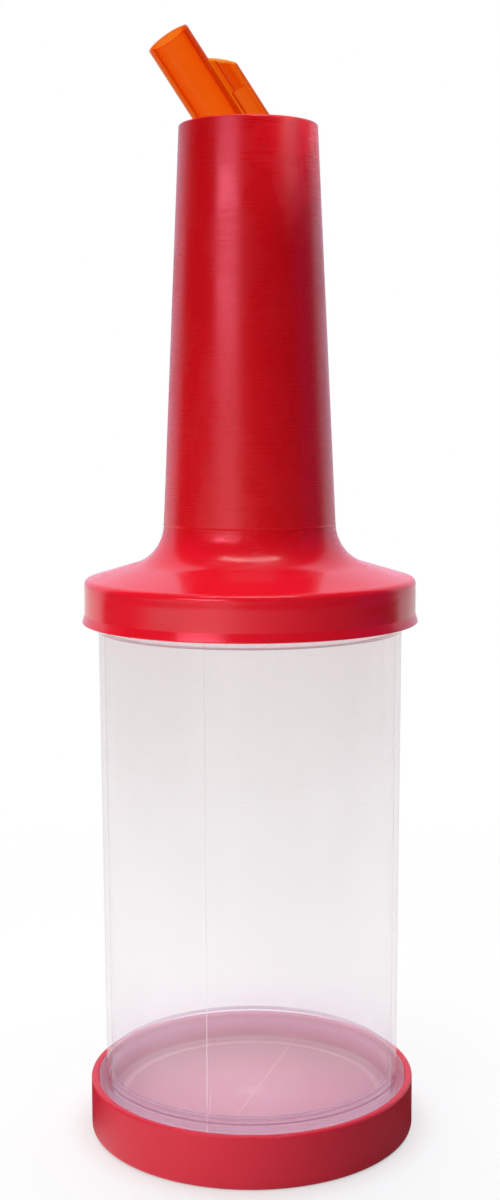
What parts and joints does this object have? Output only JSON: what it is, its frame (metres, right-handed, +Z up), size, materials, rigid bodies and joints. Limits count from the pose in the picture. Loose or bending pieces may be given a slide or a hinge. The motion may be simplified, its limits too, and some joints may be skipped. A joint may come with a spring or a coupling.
{
  "type": "speed pour bottle",
  "caption": "Clear round drinks container with a long tapered pouring neck, a slanted pour spout with an air vent, and a shallow cap under its base.",
  "frame": {"origin": "centre of the underside of the base cap, on the surface that it stands on", "axes": "+Z up along the bottle's axis; the spout leans towards -X"},
  "size_m": [0.0978, 0.0978, 0.3208],
  "materials": {
    "red_satin": "satin moulded red plastic",
    "frosted_clear": "translucent, faintly frosted plastic",
    "red_gloss": "polished red plastic with fine handling scratches",
    "orange_clear": "polished see-through orange plastic"
  },
  "bodies": {
    "root": {"base_cap": "red_satin", "container": "frosted_clear", "neck": "red_gloss", "spout": "orange_clear"}
  },
  "joints": []
}
